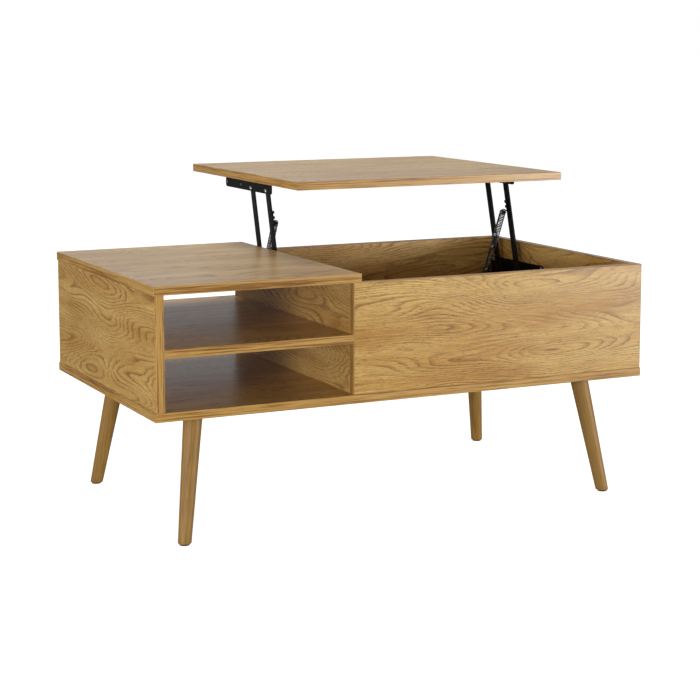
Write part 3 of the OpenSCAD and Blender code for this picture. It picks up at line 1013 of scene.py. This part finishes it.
def cross_cutter(span: float, width: float, depth: float) -> bmesh.types.BMesh:
    """A cutter for a screwdriver cross, sunk from above the xy plane.

    Args:
        span: The cross's width from tip to tip.
        width: The width of one slot.
        depth: How deep it reaches below the plane.

    Returns:
        The cutter, tapered towards its bottom.
    """
    arm, half = span / 2, width / 2
    outline = [(arm, -half), (arm, half), (half, half), (half, arm), (-half, arm), (-half, half)]
    outline += [(-x, -y) for x, y in outline]
    levels = [(0.004, 1.0), (0.0, 1.0), (-depth, 0.55)]
    return loft([[Vector((x * scale, y * scale, height)) for x, y in outline] for height, scale in levels])


# ---- legs ------------------------------------------------------------------------------------


@dataclass
class Legs:
    """Four turned legs on steel plates, with glides under their feet."""

    finishes: Finishes
    # how far a leg's axis runs inwards along the width and the depth, over its height
    lean_mm: tuple[float, float, float] = (35.0, 41.0, 230.0)
    top_radius_mm: float = 17.5
    foot_radius_mm: float = 12.0
    ease_mm: float = 2.0
    rings: int = 24
    points: int = 48
    glide_radius_mm: float = 9.0
    glide_height_mm: float = 2.5
    glide_rim_mm: float = 0.8

    def build(self) -> None:
        """Builds the legs, their glides, plates, bolts and screws."""
        glides = self._glide_spots()
        for across in ("left", "right"):
            for depth in ("front", "back"):
                self._leg(f"leg_{depth}_{across}", glides)
        self._glides(glides)
        dress("leg_plates", self.finishes.zinc, bevel_mm=0.4)
        dress("leg_bolts", self.finishes.zinc)
        dress("leg_plate_screws", self.finishes.zinc)

    def _glide_spots(self) -> list[Vector]:
        """The middle of each glide, on the floor."""
        return [Vector((*((low + high) / 2).xy, 0.0)) for low, high in islands("foot_glides")]

    def _leg(self, node: str, glides: Sequence[Vector]) -> None:
        """Builds one leg: level slices of a leaning cone, with an eased foot.

        Args:
            node: The leg's CAD node.
            glides: The middles of all glides.
        """
        low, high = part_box(node)
        middle = (low + high) / 2
        foot = min(glides, key=lambda spot: (spot.xy - middle.xy).length)
        lean_x, lean_y, rise = self.lean_mm
        axis = Vector((-math.copysign(lean_x, foot.x), -math.copysign(lean_y, foot.y), rise)).normalized()
        level = Vector((axis.x, axis.y, 0.0)).normalized()
        beside = Vector((-level.y, level.x, 0.0))
        ease = self.ease_mm * MM
        heights = [low.z + ease * share for share in (0.0, 0.15, 0.5, 1.0)]
        heights += [low.z + (high.z - low.z) * (i / self.rings) for i in range(1, self.rings + 1)]
        turn = 2 * math.pi / self.points
        rows = []
        for height in heights:
            taper = (self.top_radius_mm - self.foot_radius_mm) * height / (rise * MM)
            radius = (self.foot_radius_mm + taper) * MM
            eased = min(1.0, (height - low.z) / ease)
            radius -= ease * (1 - math.sqrt(1 - (1 - eased) ** 2))
            centre = foot + axis * (height / axis.z)
            # a level cut through a leaning leg is longer along the lean
            long, short = level * (radius / axis.z), beside * radius
            rows.append([
                centre + long * math.cos(i * turn) + short * math.sin(i * turn) for i in range(self.points)
            ])
        mesh = loft(rows)
        layer = mesh.loops.layers.float_vector.new(GRAIN)
        for face in mesh.faces:
            for loop in face.loops:
                away = loop.vert.co - foot
                run = away.dot(axis)
                rest = away - axis * run
                # each leg is cut from its own length of wood
                loop[layer] = Vector((run + foot.x * 3, rest.dot(level), rest.dot(beside)))
        show(mesh, node + "_turned", "carcass", [self.finishes.leg], [node])

    def _glides(self, spots: Sequence[Vector]) -> None:
        """Builds the glides: nailed plastic buttons with a rounded rim.

        Args:
            spots: The middle of each glide, on the floor.
        """
        radius, height, rim = self.glide_radius_mm * MM, self.glide_height_mm * MM, self.glide_rim_mm * MM
        profile = [(0, 0), (radius - rim, 0)]
        profile += [(radius - rim + out, up) for out, up in quarter(rim, 4)]
        profile += [(radius, height), (0, height)]
        pads = [place(turned(profile), Matrix.Translation(spot)) for spot in spots]
        looks = [self.finishes.glide]
        show(join(pads), "foot_glide_pads", "carcass", looks, ["foot_glides"])


# ---- lift mechanism --------------------------------------------------------------------------


@dataclass
class Hardware:
    """Turned small parts that the mechanism shares: rivets and screws."""

    rivet_radius_mm: float = 3.0
    rivet_head_mm: float = 5.0
    rivet_head_height_mm: float = 2.0
    plate_mm: float = 12.0
    inner_head_mm: float = 17.1
    screw_head_mm: float = 4.0
    screw_head_height_mm: float = 2.0
    shank_mm: float = 1.9
    screw_length_mm: float = 14.0
    cross_mm: float = 4.2
    cross_slot_mm: float = 1.1
    cross_depth_mm: float = 1.4

    def rivet(self) -> bmesh.types.BMesh:
        """Builds a rivet along +z, which starts at the wall.

        Returns:
            The rivet: two domed heads on one shank.
        """
        head, height = self.rivet_head_mm * MM, self.rivet_head_height_mm * MM
        shank = self.rivet_radius_mm * MM
        start, inner = self.plate_mm * MM, self.inner_head_mm * MM
        dome = [(head * math.cos(a), height * math.sin(a)) for a in (math.pi / 2 * i / 7 for i in range(8))]
        outer = [(radius, start - rise) for radius, rise in reversed(dome)]
        cap = [(radius, inner + rise) for radius, rise in dome]
        return turned([*outer, (shank, start), (shank, inner), *cap])

    def screw(self) -> bmesh.types.BMesh:
        """Builds a pan-head screw: its head stands on the xy plane, its shank goes down.

        Returns:
            The screw, with a screwdriver cross in its head.
        """
        head, height = self.screw_head_mm * MM, self.screw_head_height_mm * MM
        shank, length = self.shank_mm * MM, self.screw_length_mm * MM
        dome = [
            (head * math.cos(a), height * (0.25 + 0.75 * math.sin(a)))
            for a in (math.pi / 2 * i / 6 for i in range(7))
        ]
        body = turned([(0, -length), (shank, -length + shank), (shank, 0), (head, 0), *dome], count=28)
        cutter = cross_cutter(self.cross_mm * MM, self.cross_slot_mm * MM, self.cross_depth_mm * MM)
        return carve(body, place(cutter, Matrix.Translation((0, 0, height * 0.92))))


@dataclass
class LiftMechanism:
    """The pair of sprung parallel arms that carries the lift top, one on each wall of the box."""

    finishes: Finishes
    hardware: Hardware = field(default_factory=Hardware)
    arm_width_mm: float = 18.0
    arm_from_mm: float = 15.0
    arm_depth_mm: float = 3.5
    arm_bend_mm: float = 1.3
    arm_edge_mm: float = 0.4
    sheet_mm: float = 2.0
    hook_reach_mm: float = 178.0
    hook_behind_mm: float = 4.0
    eye_radius_mm: float = 7.0
    eye_wire_mm: float = 1.25
    coil_radius_mm: float = 7.0
    coil_wire_mm: float = 1.2
    # the turns really lie closer: they are spread out a little, so that they show
    coil_pitch_mm: float = 3.9
    coil_points: int = 18
    plug_mm: tuple[float, float] = (9.0, 14.0)
    cap_mm: tuple[float, float] = (5.0, 8.0)
    end_points: int = 20

    def build(self) -> None:
        """Builds both mechanisms and the rivets and screws that they share."""
        for side in Side:
            for node in ("base_bracket_", "top_bracket_"):
                dress(node + side.word, self.finishes.steel, bevel_mm=0.35)
            dress("hook_plate_" + side.word, self.finishes.steel, bevel_mm=0.3)
            for row in ("front", "rear"):
                self._arm(f"{row}_arm_{side.word}", side)
            self._spring(side)
        self._rivets()
        self._screws()
        for node in ("base_washers", "top_washers", "flange_rivets", "spring_anchors"):
            dress(node, self.finishes.zinc, bevel_mm=0.2)

    @staticmethod
    def wall(side: Side) -> float:
        """The x of the face that carries one side's bracket."""
        low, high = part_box("base_bracket_" + side.word)
        return low.x if side is Side.LEFT else high.x

    def pivot(self, name: str) -> Vector:
        """A joint's position."""
        return Vector(JOINTS[name]["pos_m"])

    def arm_line(self, row: str, side: Side) -> tuple[Vector, Vector]:
        """The lower pivot of an arm and the way it points, as raised.

        Args:
            row: "front" or "rear".
            side: The mechanism's side.

        Returns:
            The lower pivot on the wall's face, and the vector to the upper pivot.
        """
        reach = self.pivot("lid_pivot") - self.pivot("lift")
        name = "lift" if (row, side) == ("front", Side.LEFT) else f"{row}_arm_{side.word}_pivot"
        low = self.pivot(name)
        low.x = self.wall(side)
        reach.x = 0.0
        return low, reach

    @staticmethod
    def on_wall(origin: Vector, up: Vector, side: Side) -> Matrix:
        """Makes a frame with x away from the wall, z along a part and y beside it.

        Args:
            origin: The frame's origin.
            up: The way that the part points.
            side: The mechanism's side.

        Returns:
            The frame.
        """
        out = Vector((float(side.value), 0.0, 0.0))
        top = up.normalized()
        beside = Vector((0.0, top.z, -top.y))
        turn = Matrix((out, beside, top)).transposed().to_4x4()
        return Matrix.Translation(origin) @ turn

    def _arm(self, node: str, side: Side) -> None:
        """Builds one arm: a channel pressed from sheet, with round ends and rolled edges.

        Args:
            node: The arm's CAD node.
            side: The mechanism's side.
        """
        row = node.split("_")[0]
        low, reach = self.arm_line(row, side)
        half, sheet = self.arm_width_mm / 2 * MM, self.sheet_mm * MM
        start, end = self.arm_from_mm * MM, (self.arm_from_mm + self.arm_depth_mm) * MM
        bend, edge = self.arm_bend_mm * MM, self.arm_edge_mm * MM
        # the sheet's section, from the web round the bend, over the lip and back:
        # how far each point lies from the arm's middle line, and from the wall
        steps = [
            (half - bend * 0.95, start), (half - bend * 0.5, start + bend * 0.13),
            (half - bend * 0.13, start + bend * 0.5), (half, start + bend),
            (half, end - edge), (half - edge, end), (half - sheet + edge, end), (half - sheet, end - edge),
            (half - sheet, start + sheet + bend * 0.6),
            (half - sheet - bend * 0.2, start + sheet + bend * 0.2),
            (half - sheet - bend * 0.7, start + sheet),
        ]
        loops = [self._oblong(radius, out, reach.length) for radius, out in steps]
        mesh = place(loft(loops), self.on_wall(low, reach, side))
        show(mesh, node + "_channel", node, [self.finishes.steel], [node])

    def _oblong(self, radius: float, out: float, length: float) -> list[Vector]:
        """Draws an oblong round two pivots, at one distance from the wall.

        Args:
            radius: The radius of its ends.
            out: Its distance from the wall.
            length: The distance between the pivots.

        Returns:
            The outline's points.
        """
        points = []
        for centre, start in ((length, 0.0), (0.0, math.pi)):
            for i in range(self.end_points + 1):
                angle = start + math.pi * i / self.end_points
                points.append(Vector((out, radius * math.cos(angle), centre + radius * math.sin(angle))))
        return points

    def _spring(self, side: Side) -> None:
        """Builds one spring: a coil that stretches between a wire eye below and a hook above.

        Args:
            side: The mechanism's side.
        """
        word = side.word
        low_arm, reach = self.arm_line("front", side)
        along = reach.normalized()
        behind = Vector((0.0, along.z, -along.y))
        hook = low_arm + (along * self.hook_reach_mm + behind * self.hook_behind_mm) * MM
        anchor = self.pivot(f"spring_anchor_{word}")
        hook.x = anchor.x
        line = hook - anchor
        stand = self.on_wall(anchor, line, side)
        length = line.length
        flip = Matrix.Translation((0, 0, length)) @ Matrix.Diagonal((1, 1, -1, 1))
        ends = (("lower", self._eye(), Matrix.Identity(4)), ("upper", self._hook(), flip))
        for end, mesh, turn in ends:
            show(
                place(mesh, stand @ turn), f"spring_{end}_wire_{word}", f"spring_{end}_{word}",
                [self.finishes.spring], [f"spring_{end}_eye_{word}"],
            )
        start, stop = self.plug_mm[1] * MM, length - self.cap_mm[1] * MM
        coil = place(self._coil(start, stop), stand)
        piece = show(
            coil, f"spring_turns_{word}", f"spring_lower_{word}", [self.finishes.spring],
            [f"spring_coil_{word}"],
        )
        piece.parent = None
        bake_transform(piece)

    def _eye(self) -> bmesh.types.BMesh:
        """Builds the spring's lower end, about the anchor's axis.

        Returns:
            A wire eye with the threaded plug that closes the coil.
        """
        radius, wire = self.eye_radius_mm * MM, self.eye_wire_mm * MM
        ring = [
            Vector((0.0, radius * math.sin(a), -radius * math.cos(a)))
            for a in (2 * math.pi * i / 36 for i in range(36))
        ]
        neck = [Vector((0, 0, radius + 0.2 * MM)), Vector((0, 0, self.plug_mm[0] * MM + 1 * MM))]
        first, last = self.plug_mm[0] * MM, self.plug_mm[1] * MM
        outer = self.coil_radius_mm * MM
        plug = turned([
            (0, first), (2.6 * MM, first), (3.4 * MM, first + 0.3 * MM), (outer - 0.8 * MM, last - 1.5 * MM),
            (outer - 0.1 * MM, last - 1.0 * MM), (outer - 0.1 * MM, last - 0.2 * MM),
            (outer - 0.4 * MM, last), (0, last),
        ])
        return join([tube(ring, wire, sides=10, closed=True), tube(neck, wire * 1.3, sides=10), plug])

    def _hook(self) -> bmesh.types.BMesh:
        """Builds the spring's upper end, upside down.

        Returns:
            The wire's end, bent over into the notched plate, on the cap that closes the coil.
        """
        wire = self.eye_wire_mm * MM
        radius = self.coil_radius_mm * MM - wire
        arc = [
            Vector((radius * math.cos(a), 0.0, radius * (1 - math.sin(a))))
            for a in (math.pi * i / 24 for i in range(25))
        ]
        first, last = self.cap_mm[0] * MM, self.cap_mm[1] * MM
        outer = self.coil_radius_mm * MM
        arc = [Vector((radius, 0.0, last)), *arc, Vector((-radius, 0.0, last))]
        cap = turned([
            (0, first), (outer - 1.0 * MM, first), (outer - 0.3 * MM, first + 0.3 * MM),
            (outer, first + 1.0 * MM), (outer, last - 0.4 * MM), (outer - 0.4 * MM, last), (0, last),
        ])
        return join([tube(arc, wire, sides=12), cap])

    def _coil(self, start: float, stop: float) -> bmesh.types.BMesh:
        """Builds the coil's wire, from the plug to the cap.

        Args:
            start: Where the coil starts along the spring, in metres.
            stop: Where it stops.

        Returns:
            The wire.
        """
        radius = (self.coil_radius_mm - self.coil_wire_mm) * MM
        turns = round((stop - start) / (self.coil_pitch_mm * MM))
        steps = turns * self.coil_points
        run = (stop - start) - 2 * self.coil_wire_mm * MM
        path = []
        for i in range(steps + 1):
            angle = 2 * math.pi * i / self.coil_points
            height = start + self.coil_wire_mm * MM + run * i / steps
            path.append(Vector((radius * math.cos(angle), radius * math.sin(angle), height)))
        return tube(path, self.coil_wire_mm * MM, sides=8)

    def _rivets(self) -> None:
        """Builds the rivets at the lower and upper pivots."""
        stand_up = Matrix.Rotation(math.pi / 2, 4, "Y")
        for node, body, raised in (("base_rivets", "carcass", False), ("top_rivets", "lid", True)):
            made = []
            for side in Side:
                for row in ("front", "rear"):
                    low, reach = self.arm_line(row, side)
                    spot = low + reach if raised else low
                    frame_at = self.on_wall(spot, Vector((0, 0, 1)), side)
                    made.append(place(self.hardware.rivet(), frame_at @ stand_up))
            show(join(made), node + "_domed", body, [self.finishes.zinc], [node])

    def _screws(self) -> None:
        """Builds the screws of the base brackets and of the lift top."""
        for node, body in (("base_bracket_screws", "carcass"), ("lid_screws", "lid")):
            pattern = self.hardware.screw()
            made = [place(pattern.copy(), self._screw_frame(body, low, high)) for low, high in islands(node)]
            pattern.free()
            show(join(made), node + "_cross_head", body, [self.finishes.zinc], [node])

    def _screw_frame(self, body: str, low: Vector, high: Vector) -> Matrix:
        """Finds where one screw's head stands, and the way it looks.

        Args:
            body: The CAD body that the screw rides on.
            low: The lowest corner of the screw's box.
            high: The highest corner of the screw's box.

        Returns:
            The head's frame, with z out of it.
        """
        middle = (low + high) / 2
        head = self.hardware.screw_head_height_mm * MM
        if body == "lid":
            return Matrix.Translation((middle.x, middle.y, low.z + head)) @ Matrix.Rotation(math.pi, 4, "X")
        side = Side.LEFT if middle.x < self.box_middle() else Side.RIGHT
        stand = self.wall(side) + side.value * self.sheet_mm * MM
        out = self.on_wall(Vector((stand, middle.y, middle.z)), Vector((0, 0, 1)), side)
        return out @ Matrix.Rotation(math.pi / 2, 4, "Y")

    @staticmethod
    def box_middle() -> float:
        """The x midway between the two walls of the box."""
        low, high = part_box("back_panel")
        return (low.x + high.x) / 2


# ---- studio ----------------------------------------------------------------------------------


@dataclass
class Lamp:
    """One soft studio light that looks at the table."""

    name: str
    place: tuple[float, float, float]
    size: float
    watts: float

    def build(self, target: Vector) -> None:
        """Adds the light.

        Args:
            target: The point that it looks at.
        """
        data = bpy.data.lights.new(self.name, "AREA")
        data.shape = "DISK"
        data.size = self.size
        data.energy = self.watts
        lamp = bpy.data.objects.new(self.name, data)
        lamp.location = self.place
        lamp.rotation_euler = (target - Vector(self.place)).to_track_quat("-Z", "Y").to_euler()
        lamp.visible_camera = False
        bpy.context.scene.collection.objects.link(lamp)


@dataclass
class Studio:
    """A white floor lit from below, soft light round the horizon, four lamps and the camera."""

    floor_radius: float = 60.0
    sensor_mm: float = 36.0
    lens_mm: float = 93.58
    camera_place: tuple[float, float, float] = (-1.5389, -3.1695, 0.8943)
    camera_yaw: float = 0.4536
    camera_pitch: float = 0.1355
    camera_shift: float = -0.10
    # what the lamps look at, near the middle of the table
    target: tuple[float, float, float] = (0.1, 0.0, 0.35)
    backdrop: str = "#ffffff"
    # brightness of the room's air, from straight down to straight up
    air: tuple[tuple[float, str], ...] = (
        (0.0, "#403e3b"), (0.46, "#5c5a57"), (0.505, "#c4c4c4"),
        (0.60, "#d0d0d0"), (0.75, "#626263"), (1.0, "#4c4c4d"),
    )

    def build(self) -> None:
        """Builds the floor, world, lamps and camera."""
        self._floor()
        self._world()
        target = Vector(self.target)
        for lamp in (
            Lamp("key_light", (3.4, -3.4, 0.62), 1.15, 135),
            Lamp("left_light", (-3.6, -2.8, 0.62), 1.15, 92),
            Lamp("side_light", (-4.4, 0.2, 0.62), 1.15, 38),
            Lamp("back_light", (0.4, 2.2, 3.4), 2.4, 92),
        ):
            lamp.build(target)
        self._camera()
        view = bpy.context.scene.view_settings
        view.view_transform = "Standard"
        view.look = "None"

    def _floor(self) -> None:
        """Builds the floor: a flat disc that the camera sees, and that throws no light back."""
        mesh = bmesh.new()
        bmesh.ops.create_circle(mesh, cap_ends=True, segments=96, radius=self.floor_radius)
        data = bpy.data.meshes.new("floor")
        mesh.to_mesh(data)
        mesh.free()
        data.materials.append(LitAcrylic().build())
        floor = bpy.data.objects.new("floor", data)
        bpy.context.scene.collection.objects.link(floor)
        floor.visible_diffuse = floor.visible_glossy = False

    def _world(self) -> None:
        """Air that is bright round the horizon and dim overhead, in front of a white backdrop."""
        world = bpy.data.worlds.new("studio_air")
        world.use_nodes = True
        tree = world.node_tree
        direction = add(tree, "ShaderNodeTexCoord").outputs["Generated"]
        height = add(tree, "ShaderNodeSeparateXYZ", {0: direction}).outputs["Z"]
        level = add(tree, "ShaderNodeMapRange", {0: height, 1: -1.0, 2: 1.0}).outputs[0]
        air = add(tree, "ShaderNodeBackground", {"Color": ramp(tree, level, self.air)})
        seen = add(tree, "ShaderNodeBackground", {"Color": linear(self.backdrop)})
        path = add(tree, "ShaderNodeLightPath")
        shares = {0: path.outputs["Is Camera Ray"], 1: air.outputs[0], 2: seen.outputs[0]}
        blend = add(tree, "ShaderNodeMixShader", shares)
        tree.links.new(blend.outputs[0], tree.nodes["World Output"].inputs["Surface"])
        bpy.context.scene.world = world

    def _camera(self) -> None:
        """The camera, about twice as high as the closed table, off its left front corner."""
        data = bpy.data.cameras.new("camera")
        data.sensor_width = self.sensor_mm
        data.lens = self.lens_mm
        data.shift_y = self.camera_shift
        data.clip_end = 100.0
        camera = bpy.data.objects.new("camera", data)
        camera.location = self.camera_place
        level = math.cos(self.camera_pitch)
        across, ahead = math.sin(self.camera_yaw) * level, math.cos(self.camera_yaw) * level
        look = Vector((across, ahead, -math.sin(self.camera_pitch)))
        camera.rotation_euler = look.to_track_quat("-Z", "Y").to_euler()
        bpy.context.scene.collection.objects.link(camera)
        bpy.context.scene.camera = camera


def main() -> None:
    """Builds the table and its studio, in the order a fitter would."""
    logging.basicConfig(level=logging.INFO, format="%(message)s")
    finishes = Finishes()
    Carcass(finishes).build()
    Board("lift_top", "lid", Axis.HEIGHT, Axis.WIDTH, finishes, seed=6.31).build()
    Fittings(finishes).build()
    Legs(finishes).build()
    LiftMechanism(finishes).build()
    Studio().build()
    bpy.context.view_layer.update()


if __name__ == "__main__":
    main()
